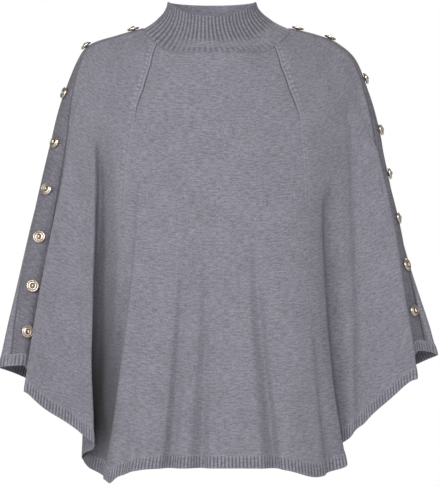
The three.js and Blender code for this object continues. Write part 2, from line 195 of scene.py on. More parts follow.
# How far the hem hangs below its even line near a few places, or above it where this is negative.
HEM_DROPS = {
    "left": table(
        "place width drop",
        [
            (0.42, 0.11, 14),
            (0.425, 0.024, 9),
            (0.475, 0.03, 7),
            (0.6, 0.06, -8),
            (0.6, 0.05, -6),
            (0.755, 0.035, 8),
            (0.85, 0.03, -12),
        ],
    ),
    "right": table(
        "place width drop",
        [
            (0.42, 0.11, 14),
            (0.6, 0.06, -8),
            (0.765, 0.03, 7),
            (0.85, 0.035, -16),
        ],
    ),
}

# Where the buttons sit down each placket.
BUTTON_FALLS = {
    "left": (0.022, 0.148, 0.274, 0.4, 0.526, 0.652, 0.778, 0.904),
    "right": (0.018, 0.112, 0.245, 0.368, 0.49, 0.616, 0.742, 0.875),
}

# Where the shaping lines run, counted from the middle of the panel.
SHAPING_LINE = table(
    "fall left right",
    [
        (0.0, 0.645, 0.6),
        (0.05, 0.562, 0.537),
        (0.107, 0.515, 0.515),
        (0.168, 0.507, 0.515),
        (0.2, 0.51, 0.5),
        (0.24, 0.513, 0.488),
        (0.29, 0.514, 0.48),
        (0.38, 0.51, 0.47),
    ],
)


def smooth(value):
    """Rises softly from 0 to 1."""
    t = np.clip(value, 0, 1)
    return t * t * (3 - 2 * t)


def size_at(rows, column, fall):
    """A smooth curve through one column of a table, read at one fall."""
    at, size = rows["fall"], rows[column]
    step = np.diff(at)
    rise = np.diff(size) / step
    inner = (rise[:-1] * step[1:] + rise[1:] * step[:-1]) / (step[1:] + step[:-1])
    slope = np.concatenate([rise[:1], inner, rise[-1:]])
    i = int(np.clip(np.searchsorted(at, fall) - 1, 0, len(step) - 1))
    t = (fall - at[i]) / step[i]
    low = size[i] * (1 + 2 * t) + slope[i] * step[i] * t
    high = size[i + 1] * (3 - 2 * t) + slope[i + 1] * step[i] * (t - 1)
    return low * (1 - t) ** 2 + high * t * t


def ramp(value, begin, end):
    """Rises from 0 to 1 in a straight line with a rounded start and end."""
    t = np.clip(value, 0, 1)
    peak = 1 / (1 - begin / 2 - end / 2)
    start = peak * t * t / (2 * begin)
    finish = 1 - peak * (1 - t) ** 2 / (2 * end)
    return np.where(t < begin, start, np.where(t < 1 - end, peak * (t - begin / 2), finish))


def hump(value, middle, width):
    """A soft hump of height 1."""
    return np.exp(-(((value - middle) / width) ** 2))


def fold_at(fold, fall):
    """A fold's place, half width and strength at one fall."""
    along = min(max((fall - fold["start"]) / (1 - fold["start"]), 0), 1)
    at = fold["at_top"] + (fold["at_hem"] - fold["at_top"]) * along ** fold["bend"]
    wide = fold["wide_top"] + (fold["wide_hem"] - fold["wide_top"]) * along
    return at, wide, along ** fold["power"] * float(smooth(along / 0.12))


def gathered(side, distance, fall):
    """Distance round the open loop once every fold has drawn its cloth together."""
    total = np.array(distance, float)
    for fold in FOLDS[side]:
        at, wide, strength = fold_at(fold, fall)
        t = np.clip((distance - at) / wide, -1, 1)
        total = total - fold["gather"] * strength**2 * wide * (t - t**7 / 7)
    return total


def plan_point(side, angle, fall):
    """Plan of the loop with no folds, from 0 at the front centre to pi at the back centre."""
    half = size_at(SIDES, side, fall)
    across, along = np.sin(angle), np.cos(angle)
    x = half * across
    edge = 1 / (1 + (half / TORSO_HALF_WIDTH) ** 6)
    torso = (1 / (1 + (x / TORSO_HALF_WIDTH) ** 6) - edge) / (1 - edge)
    sizes = {name: size_at(DEPTHS, name, fall) for name in ("front", "front_arm", "back", "back_arm")}
    front = sizes["front_arm"] * along + (sizes["front"] - sizes["front_arm"]) * torso
    back = -sizes["back_arm"] * along + (sizes["back"] - sizes["back_arm"]) * torso
    y = np.where(along > 0, -front, back) + size_at(SIDES, "tip", fall) * across**2
    return (x if side == "right" else -x), y


def arc_angle(side, fall, start, end, share):
    """Plan angle at each share of the length of one arc."""
    angles = np.linspace(start, end, 161)
    x, y = plan_point(side, angles, fall)
    length = np.concatenate([[0], np.cumsum(np.hypot(np.diff(x), np.diff(y)))])
    return np.interp(np.clip(share, 0, 1) * length[-1], length, angles)


def height_at(side, distance, fall):
    """Height of the cloth: high along the arms, and down a slope from there to the middles."""
    front = distance <= 1
    reach = np.where(front, 0.62 - 0.19 * fall, 0.95)
    middle = np.where(front, size_at(DEPTHS, "front_z", fall), size_at(DEPTHS, "back_z", fall))
    begin = np.where(front, 0.25 - 0.21 * fall, 0.3)
    share = ramp(np.abs(1 - distance) / reach, begin, 0.35 - 0.2 * fall)
    edge = size_at(SIDES, side + "_z", fall)
    drops = HEM_DROPS[side]
    rows = zip(drops["place"], drops["width"], drops["drop"])
    drop = sum(size * hump(distance, place, width) for place, width, size in rows)
    return edge + (middle - edge) * share - drop * fall**4


def side_row(side, distance, fall):
    """Points of one side's cloth along a level."""
    g = gathered(side, distance, fall)
    front, placket, back = gathered(side, np.array([0.0, 1.0, 2.0]), fall)
    turn = math.radians(size_at(TURNS, side, fall))
    on_front = arc_angle(side, fall, 0, turn, (g - front) / (placket - front))
    on_back = arc_angle(side, fall, turn, math.pi, (g - placket) / (back - placket))
    angle = np.where(distance <= 1, on_front, on_back)
    x, y = plan_point(side, angle, fall)
    x_ahead, y_ahead = plan_point(side, np.minimum(angle + ANGLE_STEP, math.pi), fall)
    x_behind, y_behind = plan_point(side, np.maximum(angle - ANGLE_STEP, 0), fall)
    along_x, along_y = x_ahead - x_behind, y_ahead - y_behind
    run = np.hypot(along_x, along_y)
    along_x, along_y = along_x / run, along_y / run
    turn_sign = 1 if side == "right" else -1
    out_x, out_y = along_y * turn_sign, -along_x * turn_sign
    for fold in FOLDS[side]:
        at, wide, strength = fold_at(fold, fall)
        t = np.clip((distance - at) / wide, -1, 1)
        swell = (1 + np.cos(np.pi * t)) / 2 * strength
        x = x - out_x * swell * fold["depth"] + along_x * swell * fold["lean"]
        y = y - out_y * swell * fold["depth"] + along_y * swell * fold["lean"]
    return np.stack([x, y, height_at(side, distance, fall)], axis=-1)


def by_side(around):
    """Which places are on the right side, and how far each is from the front centre."""
    turn = np.mod(around, 4)
    right = turn <= 2
    return right, np.where(right, turn, 4 - turn)


def cloth_row(around, fall):
    """Points of the cloth's outer face along a level."""
    right, distance = by_side(around)
    points = np.zeros((len(distance), 3))
    for side, mine in (("right", right), ("left", ~right)):
        if mine.any():
            points[mine] = side_row(side, distance[mine], fall)
    return points


def cloth_grid(places, falls):
    """Points of the cloth at a grid of places, a row for each fall."""
    return np.stack([cloth_row(row, fall) for row, fall in zip(places, falls)])


def outward(points):
    """The way each point of a grid faces. Rows run down and columns to the right."""
    down = np.gradient(points, axis=0)
    right = np.gradient(points, axis=1)
    normal = np.cross(down, right)
    return normal / np.linalg.norm(normal, axis=-1, keepdims=True)


def collar_grid(around, rises):
    """Points of the collar, from its top edge down to the neck seam."""
    low = cloth_row(around, 0.0)
    right, distance = by_side(around)
    angle = np.zeros(len(distance))
    for side, mine in (("right", right), ("left", ~right)):
        reached = math.radians(size_at(TURNS, side, 0.0))
        on_front = arc_angle(side, 0.0, 0, reached, distance)
        on_back = arc_angle(side, 0.0, reached, math.pi, distance - 1)
        angle = np.where(mine, np.where(distance <= 1, on_front, on_back), angle)
    across = np.sin(angle) * np.where(right, 1, -1)
    forward = np.cos(angle)
    depth = np.where(forward > 0, COLLAR_TOP_DEPTH_FRONT, COLLAR_TOP_DEPTH_BACK)
    middle = np.where(forward > 0, COLLAR_HEIGHT_FRONT, COLLAR_HEIGHT_BACK)
    x = COLLAR_TOP_SHIFT + COLLAR_TOP_HALF_WIDTH * across
    z = middle + (COLLAR_HEIGHT_SIDE - middle) * np.abs(across) ** 2.6
    top = np.stack([x, -depth * forward, z], axis=-1)
    rows = []
    for rise in rises:
        inward = 1 - (1 - rise) ** 2
        share = np.array([inward, inward, rise])
        rows.append(low + (top - low) * share)
    return np.stack(rows)


def placket_share(side, fall):
    """Half the placket's width, in units of the way round."""
    middle = PLACKETS[side]
    ends = cloth_row(np.array([middle - PLACKET_PROBE, middle + PLACKET_PROBE]), fall)
    return PLACKET_WIDTH * PLACKET_PROBE / np.linalg.norm(ends[1] - ends[0])


def lap_at(around, fall):
    """How far the front stands out, so that it ends level with the plackets."""
    right, distance = by_side(around)
    share = np.where(right, placket_share("right", fall), placket_share("left", fall))
    return PLACKET_LAP * smooth((distance - (1 - share) + LAP_START) / LAP_RUN)


def columns_between(start, end, count):
    """Places round the cloth, closer together where the cloth bends."""
    fine = np.linspace(start, end, 1600)
    total = np.zeros(len(fine))
    for fall in (0.45, 0.7, 0.97):
        line = cloth_row(fine, fall)[:, :2]
        step = np.diff(line, axis=0)
        run = np.linalg.norm(step, axis=1)
        way = np.unwrap(np.arctan2(step[:, 1], step[:, 0]))
        bend = np.abs(np.diff(way, append=way[-1]))
        total[1:] += np.cumsum(run / 25 + bend / 0.6)
    return np.interp(np.linspace(0, total[-1], count + 1), total, fine)


def evenly_round(start, end, fall):
    """Places at equal lengths of cloth along one level, for a whole number of ribs."""
    fine = np.linspace(start, end, 4000)
    step = np.linalg.norm(np.diff(cloth_row(fine, fall), axis=0), axis=1)
    length = np.concatenate([[0], np.cumsum(step)])
    ribs = round(length[-1] / RIB_PITCH)
    steps = ribs * COLUMNS_PER_HEM_RIB
    return np.interp(np.linspace(0, length[-1], steps + 1), length, fine)


def lengths_along(points, axis):
    """Length of cloth from the first row or column of a grid."""
    run = np.linalg.norm(np.diff(points, axis=axis), axis=-1)
    start = np.zeros_like(np.take(run, [0], axis=axis))
    return np.concatenate([start, np.cumsum(run, axis=axis)], axis=axis)


def level_edges(bm, y):
    """The open edges of a mesh along one line."""
    open_edges = [edge for edge in bm.edges if edge.is_boundary]
    return [edge for edge in open_edges if all(abs(vert.co.y - y) < 1e-5 for vert in edge.verts)]


def slab(rows, columns, looped):
    """Two flat grids a unit wide, one behind the other, joined along their rims."""
    bm = bmesh.new()
    for layer in (0, 1):
        place = Matrix.Translation((0, 0, -layer))
        made = bmesh.ops.create_grid(
            bm, x_segments=columns - 1, y_segments=rows - 1, size=0.5, matrix=place
        )
        if layer == 1:
            behind = list({face for vert in made["verts"] for face in vert.link_faces})
            bmesh.ops.reverse_faces(bm, faces=behind)
    if looped:
        starts = [vert for vert in bm.verts if vert.co.x < -0.4999]
        ends = [vert for vert in bm.verts if vert.co.x > 0.4999]
        first = {(round(vert.co.y, 5), round(vert.co.z)): vert for vert in starts}
        weld = {vert: first[round(vert.co.y, 5), round(vert.co.z)] for vert in ends}
        bmesh.ops.weld_verts(bm, targetmap=weld)
        for rim_y in (0.5, -0.5):
            bmesh.ops.bridge_loops(bm, edges=level_edges(bm, rim_y))
    else:
        bmesh.ops.bridge_loops(bm, edges=[edge for edge in bm.edges if edge.is_boundary])
    return bm


def mesh_of(name, bm):
    """A bmesh turned into a smooth mesh."""
    mesh = bpy.data.meshes.new(name)
    bm.to_mesh(mesh)
    bm.free()
    mesh.shade_smooth()
    return mesh


def keep_value(mesh, key, numbers):
    """Keeps a number on each point of a mesh, for the materials."""
    kept = mesh.attributes.new(name=key, type="FLOAT", domain="POINT")
    kept.data.foreach_set("value", np.asarray(numbers, np.float32))


def add_to_scene(name, data):
    """A new object in the scene."""
    piece = bpy.data.objects.new(name, data)
    bpy.context.scene.collection.objects.link(piece)
    return piece


def cloth_wall(name, outer, inner, across, down, looped=False, period=0.0, inside=1.0, **values):
    """A closed wall of cloth between two grids of points, in millimetres. across and down are
    the cloth's own lengths, and period is the length round a looped one. values are kept for
    the materials, and inside is how strongly they show on the inner face."""
    rows, columns = outer.shape[:2]
    bm = slab(rows, columns, looped)
    flat = np.array([vert.co for vert in bm.verts])
    column = np.rint((flat[:, 0] + 0.5) * (columns - 1)).astype(int)
    row = np.rint((0.5 - flat[:, 1]) * (rows - 1)).astype(int)
    behind = flat[:, 2] < -0.5
    placed = np.where(behind[:, None], inner[row, column], outer[row, column]) * MM
    for vert, point in zip(bm.verts, placed):
        vert.co = point
    bmesh.ops.recalc_face_normals(bm, faces=bm.faces[:])
    mesh = mesh_of(name, bm)

    corner = np.zeros(len(mesh.loops), dtype=np.int32)
    mesh.loops.foreach_get("vertex_index", corner)
    begin = np.zeros(len(mesh.polygons), dtype=np.int32)
    mesh.polygons.foreach_get("loop_start", begin)
    u = across[row, column][corner]
    v = down[row, column][corner]
    if looped:
        face_of = np.repeat(np.arange(len(begin)), np.diff(np.append(begin, len(corner))))
        widest = np.maximum.reduceat(u, begin)[face_of]
        u = np.where(widest - u > period / 2, u + period, u)
    uv = mesh.uv_layers.new(name="cloth")
    uv.data.foreach_set("uv", np.stack([u, v], axis=-1).ravel().astype(np.float32))
    for key, grid in values.items():
        keep_value(mesh, key, grid[row, column] * np.where(behind, inside, 1))
    mesh.set_sharp_from_angle(angle=math.radians(62))
    return add_to_scene(name, mesh)


def soft_waves(across, down):
    """The slight unevenness of knitted cloth that hangs, in millimetres."""
    return (
        0.35 * np.sin(across / 23 + 1.3 * np.sin(down / 61))
        + 0.3 * np.sin(across / 37 - down / 83 + 0.7)
        + 0.25 * np.sin(down / 19 + 1.7 * np.sin(across / 47 + 2.1))
    )


def panel_faces(places, falls, lift, fade):
    """Both faces of a jersey panel, and its lengths across and down. fade is 0 where it joins
    its neighbours, so that the edges meet."""
    base = cloth_grid(places, falls)
    normal = outward(base)
    middle = int(np.argmin(np.abs(np.mod(places[0] + 0.5, 2) - 0.5)))
    across = lengths_along(base, 1)
    across = across - across[:, middle : middle + 1]
    down = lengths_along(base, 0) - base[:1, :, 2]
    relief = soft_waves(across, down) * fade
    outer = base + normal * (lift + relief)[..., None]
    inner = base + normal * (lift + relief - CLOTH_THICKNESS)[..., None]
    return outer, inner, across, down


def edge_fade(rows, columns, row_run, column_run):
    """0 along a grid's rim, and 1 this many rows and columns inside it."""
    r = np.arange(rows)
    c = np.arange(columns)
    near_row = smooth(np.minimum(r, rows - 1 - r) / row_run)
    near_column = smooth(np.minimum(c, columns - 1 - c) / column_run)
    return near_row[:, None] * near_column[None, :]


def shaping_distance(places, falls, across):
    """Length of cloth from each point to the nearer shaping line, plus on the arm's side."""
    distance = np.zeros_like(places)
    for i, fall in enumerate(falls):
        left = -np.interp(fall, SHAPING_LINE["fall"], SHAPING_LINE["left"])
        right = np.interp(fall, SHAPING_LINE["fall"], SHAPING_LINE["right"])
        at_left, at_right = np.interp([left, right], places[i], across[i])
        distance[i] = np.where(places[i] > 0, across[i] - at_right, at_left - across[i])
    return distance


def fold_shade(places, falls):
    """How much darker the yarn is inside the deep fold on the left and the soft one on the
    right, where the lamps alone leave it too light."""
    shade = np.zeros_like(places)
    for i, fall in enumerate(falls):
        left, right = np.maximum(-places[i], 0), np.maximum(places[i], 0)
        recess = fold_at(FOLDS["left"][0], fall)[0]
        end = float(1 - 0.5 * smooth((fall - 0.88) / 0.08))
        deep = 0.97 * end * float(smooth((fall - 0.55) / 0.25)) * hump(left, recess - 0.058, 0.034)
        slope = 0.66 * end * float(smooth((fall - 0.4) / 0.4)) * hump(left, recess - 0.08, 0.05)
        turned = 0.3 * float(smooth((fall - 0.28) / 0.3)) * hump(right, 0.6, 0.075)
        shade[i] = np.maximum(np.maximum(deep, slope), turned)
    return shade


def front_panel():
    """The front, from one placket's edge round to the other's."""
    rows, columns = 176, 250
    falls = np.linspace(0, BAND_TOP, rows)
    shares = columns_between(-1, 1, columns - 1)
    places = np.zeros((rows, columns))
    lift = np.zeros((rows, columns))
    for i, fall in enumerate(falls):
        left = 1 - placket_share("left", fall)
        right = 1 - placket_share("right", fall)
        places[i] = shares * np.where(shares < 0, left, right)
        lift[i] = lap_at(places[i], fall)
    fade = edge_fade(rows, columns, 8, 8)
    outer, inner, across, down = panel_faces(places, falls, lift, fade)
    line = shaping_distance(places, falls, across)
    down_the_line = np.broadcast_to(falls[:, None], line.shape)
    # rim is the length of cloth to the nearer edge, where the material paints a shadow line.
    rim = np.minimum(across - across[:, :1], across[:, -1:] - across)
    return cloth_wall(
        "front_panel", outer, inner, across, down, shaping=line, fall=down_the_line, rim=rim,
        shade=fold_shade(places, falls),
    )


def placket_places(side, falls, columns):
    """Places across a placket, a row for each fall."""
    steps = np.linspace(-1, 1, columns)
    return np.stack([PLACKETS[side] + steps * placket_share(side, fall) for fall in falls])


def back_panel():
    """The back, with its edges running on under both plackets."""
    rows = 160
    falls = np.linspace(0, BAND_TOP, rows)
    first, last = 1.03, 2.97
    middle = (columns_between(first, last, 219) - first) / (last - first)
    under = 9
    rights = placket_places("right", falls, under)
    lefts = placket_places("left", falls, under)
    places = np.zeros((rows, 2 * under + len(middle) - 2))
    for i in range(rows):
        start, end = rights[i, -1], lefts[i, 0]
        between = start + middle[1:-1] * (end - start)
        places[i] = np.concatenate([rights[i], between, lefts[i]])
    fade = edge_fade(*places.shape, 8, under + 6)
    outer, inner, across, down = panel_faces(places, falls, np.zeros_like(places), fade)
    turned = 2 - places
    line = shaping_distance(turned[:, ::-1], falls, across[:, ::-1])[:, ::-1]
    down_the_line = np.broadcast_to(falls[:, None], line.shape)
    # rim is the length of cloth to the nearer edge, where the material paints a shadow line.
    rim = np.minimum(across - across[:, under - 1 : under], across[:, -under : 1 - under] - across)
    return cloth_wall(
        "back_panel", outer, inner, across, down, shaping=line, fall=down_the_line, rim=rim,
        shade=np.zeros_like(line),
    )


def placket_strip(side):
    """The band with buttons, with rolled edges and a stitched groove beside each."""
    rows, columns = 150, 17
    falls = np.linspace(0, BAND_TOP, rows)
    places = placket_places(side, falls, columns)
    base = cloth_grid(places, falls)
    normal = outward(base)
    t = np.linspace(-1, 1, columns)[None, :]
    across = np.broadcast_to(t * PLACKET_WIDTH / 2, base.shape[:2])
    down = lengths_along(base, 0)
    rolled = 1.1 * hump(np.abs(t), 0.92, 0.08) - 0.5 * smooth((np.abs(t) - 0.93) / 0.07)
    outer = base + normal * (PLACKET_LAP + np.broadcast_to(rolled, base.shape[:2]))[..., None]
    inner = base + normal * (PLACKET_LAP - CLOTH_THICKNESS)
    # groove marks the stitched grooves, where the material paints shade.
    groove = smooth((np.abs(t) - 0.72) / 0.1) * smooth((0.86 - np.abs(t)) / 0.1)
    groove = np.broadcast_to(groove, base.shape[:2])
    return cloth_wall("placket_" + side + "_band", outer, inner, across, down, groove=groove)


def rib_wave(count, per_rib):
    """Height of rounded ribs with narrow grooves between them, from 0 to 1."""
    t = np.arange(count) / per_rib
    return (0.5 - 0.5 * np.cos(2 * np.pi * t)) ** 0.6


def hem_band(name, start, end, lapped):
    """A ribbed band along the hem. The front's is lapped over the back's, which has no ribs
    where it lies under the plackets."""
    places = evenly_round(start, end, 1.0)
    near_edge = np.array([0.0, 0.25, 0.5, 0.75, 0.93, 0.98, 1.0])
    falls = BAND_TOP + near_edge * (1 - BAND_TOP)
    grid = np.broadcast_to(places, (len(falls), len(places)))
    base = cloth_grid(grid, falls)
    normal = outward(base)
    wave = rib_wave(len(places), COLUMNS_PER_HEM_RIB)
    lift = np.stack([lap_at(places, fall) if lapped else np.zeros(len(places)) for fall in falls])
    distance = by_side(places)[1]
    share = placket_share("right", 1.0)
    open_air = np.ones(len(places)) if lapped else smooth((distance - (1 + share)) / 0.02)
    strength = np.interp(near_edge, [0, 0.12, 0.3, 0.85, 0.95, 1], [0.35, 0.6, 1, 1, 0.7, 0.5])
    height = HEM_RIB_HEIGHT * strength[:, None] * (wave * open_air)[None, :]
    rounding = np.interp(near_edge, [0, 0.93, 0.98, 1], [0, 0, 0.25, 0.75])[:, None]
    outer = base + normal * (lift + height - rounding)[..., None]
    inner = base + normal * (lift - CLOTH_THICKNESS + rounding)[..., None]
    across = np.broadcast_to(np.arange(len(places)) / COLUMNS_PER_HEM_RIB * RIB_PITCH, lift.shape)
    down = np.broadcast_to((near_edge * HEM_BAND_HEIGHT)[:, None], lift.shape)
    # groove carries painted shade for the rib material: dark in the grooves between ribs, and darker
    # across the deep fold on the left.
    groove = (1 - wave)[None, :] * strength[:, None] * open_air[None, :]
    if lapped:
        painted_fold_shade = hump(-places, 0.53, 0.05)
        groove = groove + 0.5 * painted_fold_shade[None, :]
    return cloth_wall(name, outer, inner, across, down, groove=groove)


def collar_tube():
    """The ribbed collar. Its ribs reach the neck seam on the left, and elsewhere fade above it
    and come back as short notches along it."""
    rises = np.concatenate([[1.0, 0.992, 0.975], np.linspace(0.95, 0.0, 36)])
    count = COLLAR_RIBS * COLUMNS_PER_COLLAR_RIB
    around = np.linspace(2, 6, count + 1)
    base = collar_grid(around, rises)
    down = np.gradient(base, axis=0)
    right = np.gradient(base, axis=1)
    right[:, 0] = right[:, -1] = base[:, 1] - base[:, -2]
    normal = np.cross(down, right)
    normal /= np.linalg.norm(normal, axis=-1, keepdims=True)
    wave = rib_wave(count + 1, COLUMNS_PER_COLLAR_RIB)
    faded = np.interp(rises, [0.15, 0.26, 0.4, 0.92, 0.98, 1], [0.1, 0.2, 1, 1, 0.8, 0.5])[:, None]
    notches = np.interp(rises, [0, 0.03, 0.1, 0.15], [0.3, 0.6, 0.6, 0])[:, None]
    faded = np.maximum(faded, notches * (0.35 + 0.65 * hump(around, 4, 0.55)))
    whole = np.interp(rises, [0, 0.06, 0.92, 0.98, 1], [0.4, 1, 1, 0.8, 0.5])[:, None]
    strength = faded + (whole - faded) * hump(around, 3.3, 0.3)
    rounding = np.interp(rises, [0.975, 0.992, 1], [0, 0.25, 0.75])[:, None]
    height = COLLAR_RIB_HEIGHT * strength * wave[None, :]
    outer = base + normal * (height - rounding)[..., None]
    inner = base + normal * (rounding - CLOTH_THICKNESS)[..., None]
    across = np.arange(count + 1) / COLUMNS_PER_COLLAR_RIB * RIB_PITCH
    across = np.broadcast_to(across, height.shape)
    length = lengths_along(base, 0)
    # groove carries painted shade: dark in the grooves between ribs and a little over the whole
    # collar, with only a trace on its inner face.
    groove = 0.3 + 0.6 * (1 - wave)[None, :] * strength
    return cloth_wall(
        "collar_rib", outer, inner, across, length, looped=True,
        period=COLLAR_RIBS * RIB_PITCH, inside=0.15, groove=groove,
    )


def placket_spot(side, fall):
    """The middle of a placket's outer face at one fall, the way it faces and the way down it."""
    middle = PLACKETS[side]
    falls = np.array([max(fall - SPOT_STEP, 0), fall, fall + SPOT_STEP])
    places = np.broadcast_to([middle - SPOT_STEP, middle, middle + SPOT_STEP], (3, 3))
    grid = cloth_grid(places, falls)
    normal = outward(grid)[1, 1]
    spot = grid[1, 1] + normal * PLACKET_LAP
    down = grid[2, 1] - grid[0, 1]
    down /= np.linalg.norm(down)
    return Vector(spot), Vector(normal), Vector(down)


def spot_matrix(side, fall):
    """Places something made in millimetres, face up, on a placket."""
    spot, normal, down = placket_spot(side, fall)
    across = down.cross(normal).normalized()
    up = normal.cross(across)
    turned = Matrix((across, up, normal)).transposed().to_4x4()
    return Matrix.Translation(spot * MM) @ turned @ Matrix.Scale(MM, 4)


def spin_round(bm, outline, steps):
    """Turns an outline all the way round its upright axis."""
    bmesh.ops.spin(
        bm, geom=outline, cent=(0, 0, 0), axis=(0, 0, 1),
        angle=2 * math.pi, steps=steps, use_merge=True,
    )
    bmesh.ops.remove_doubles(bm, verts=bm.verts[:], dist=1e-4)
    bmesh.ops.recalc_face_normals(bm, faces=bm.faces[:])


def button_piece(name, side, fall):
    """A pale gold button: a rolled rim, a beaded dome and a fluted oval boss."""
    outline = [
        (0.0, 0.3), (2.2, 0.3), (2.6, 0.8), (6.4, 0.9), (8.3, 1.2), (8.9, 1.9), (9.1, 2.8),
        (8.95, 3.6), (8.5, 4.2), (7.9, 4.4), (7.4, 4.2), (7.1, 3.8), (6.8, 4.1), (6.3, 4.6),
        (5.6, 5.0), (4.9, 5.3), (4.3, 5.1), (3.9, 4.6), (3.4, 4.5), (3.1, 5.2), (2.7, 5.9),
        (2.1, 6.4), (1.4, 6.7), (0.7, 6.8), (0.0, 6.8),
    ]
    bm = bmesh.new()
    ring = [bm.verts.new((radius, 0, height)) for radius, height in outline]
    edges = [bm.edges.new(pair) for pair in zip(ring, ring[1:])]
    spin_round(bm, ring + edges, BUTTON_SEGMENTS)
    recess = []
    for vert in bm.verts:
        radius = math.hypot(vert.co.x, vert.co.y)
        angle = math.atan2(vert.co.y, vert.co.x)
        face_up = vert.co.z > 3.0 and radius < 8.6
        if face_up and 5.2 < radius < 6.6:
            vert.co.z += 0.2 * math.cos(BUTTON_BEADS * angle)
        if face_up and 1.0 < radius < 3.2:
            vert.co.z += 0.25 * math.cos(BUTTON_FLUTES * angle)
        channel = max(hump(radius, 3.7, 0.9), 0.8 * hump(radius, 7.15, 0.4))
        # recess darkens the sunk channels of the face, and is painted shadow round the foot where the
        # button meets the cloth.
        recess.append(float(channel) if face_up else 0.7 * (vert.co.z < 1.4))
        if face_up and radius < BOSS_RADIUS:
            rounder = float(smooth((radius - (BOSS_RADIUS - BOSS_EDGE)) / BOSS_EDGE))
            vert.co.x *= BOSS_NARROWING + (1 - BOSS_NARROWING) * rounder
    bmesh.ops.transform(bm, matrix=spot_matrix(side, fall), verts=bm.verts[:])
    mesh = mesh_of(name, bm)
    keep_value(mesh, "recess", recess)
    mesh.set_sharp_from_angle(angle=math.radians(50))
    return add_to_scene(name, mesh)


def stitched_rings(name, side, reach, width, thickness, lift):
    """Oval rings of thread that lie on a placket, one at each button."""
    whole = bmesh.new()
    for fall in BUTTON_FALLS[side]:
        bm = bmesh.new()
        section = bmesh.ops.create_circle(bm, radius=thickness, segments=THREAD_SIDES)
        turn = Matrix.Rotation(math.radians(90), 4, "X")
        bmesh.ops.transform(bm, matrix=turn, verts=section["verts"])
        bmesh.ops.translate(bm, vec=(width, 0, 0), verts=section["verts"])
        spin_round(bm, bm.verts[:] + bm.edges[:], RING_SEGMENTS)
        for vert in bm.verts:
            if abs(vert.co.x) > 0.05:
                vert.co.x += math.copysign(reach, vert.co.x)
            angle = math.atan2(vert.co.y, vert.co.x)
            vert.co.z += lift + 0.12 * math.sin(RING_TWISTS * angle)
        bmesh.ops.transform(bm, matrix=spot_matrix(side, fall), verts=bm.verts[:])
        made = mesh_of(name, bm)
        whole.from_mesh(made)
        bpy.data.meshes.remove(made)
    return add_to_scene(name, mesh_of(name, whole))


# Materials.
def node_group(name, inputs, outputs):
    """An empty shader group with these sockets."""
    group = bpy.data.node_groups.new(name, "ShaderNodeTree")
    for label, kind, value in inputs:
        socket = group.interface.new_socket(name=label, in_out="INPUT", socket_type=kind)
        if value is not None:
            socket.default_value = value
    for label, kind in outputs:
        group.interface.new_socket(name=label, in_out="OUTPUT", socket_type=kind)
    return group, group.nodes.new("NodeGroupInput"), group.nodes.new("NodeGroupOutput")


class Wiring:
    """Short ways to add nodes to one tree."""

    def __init__(self, tree):
        self.nodes, self.links = tree.nodes, tree.links

    def plug(self, socket, value):
        if isinstance(value, bpy.types.NodeSocket):
            self.links.new(value, socket)
        else:
            socket.default_value = value

    def math(self, operation, *values, clamp=False):
        node = self.nodes.new("ShaderNodeMath")
        node.operation = operation
        node.use_clamp = clamp
        for socket, value in zip(node.inputs, values):
            self.plug(socket, value)
        return node.outputs[0]

    def times(self, one, other):
        return self.math("MULTIPLY", one, other)

    def plus(self, one, other):
        return self.math("ADD", one, other)

    def less(self, one, other):
        return self.math("SUBTRACT", one, other)

    def size(self, value):
        return self.math("ABSOLUTE", value)

    def wave(self, value, pitch=1.0):
        return self.math("SINE", self.times(value, 2 * math.pi / pitch))

    def mix(self, factor, low, high):
        node = self.nodes.new("ShaderNodeMix")
        node.data_type = "RGBA"
        self.plug(node.inputs["Factor"], factor)
        self.plug(node.inputs["A"], low)
        self.plug(node.inputs["B"], high)
        return node.outputs["Result"]

    def span(self, value, low, high, to_low=0.0, to_high=1.0):
        """Goes softly from to_low to to_high while the value goes from low to high."""
        node = self.nodes.new("ShaderNodeMapRange")
        node.interpolation_type = "SMOOTHSTEP"
        labels = ("Value", "From Min", "From Max", "To Min", "To Max")
        for label, number in zip(labels, (value, low, high, to_low, to_high)):
            self.plug(node.inputs[label], number)
        return node.outputs["Result"]

    def noise(self, vector, scale, detail=2.0, roughness=0.5):
        """Cloudy noise. scale says how often it changes, each way."""
        scaled = self.nodes.new("ShaderNodeVectorMath")
        scaled.operation = "MULTIPLY"
        self.plug(scaled.inputs[0], vector)
        self.plug(scaled.inputs[1], scale)
        node = self.nodes.new("ShaderNodeTexNoise")
        self.plug(node.inputs["Vector"], scaled.outputs[0])
        self.plug(node.inputs["Scale"], 1.0)
        self.plug(node.inputs["Detail"], detail)
        self.plug(node.inputs["Roughness"], roughness)
        return node.outputs["Fac"]

    def split(self, vector):
        node = self.nodes.new("ShaderNodeSeparateXYZ")
        self.plug(node.inputs[0], vector)
        return node.outputs["X"], node.outputs["Y"]

    def place(self, group, **values):
        node = self.nodes.new("ShaderNodeGroup")
        node.node_tree = group
        for label, value in values.items():
            self.plug(node.inputs[label.replace("_", " ")], value)
        return node.outputs


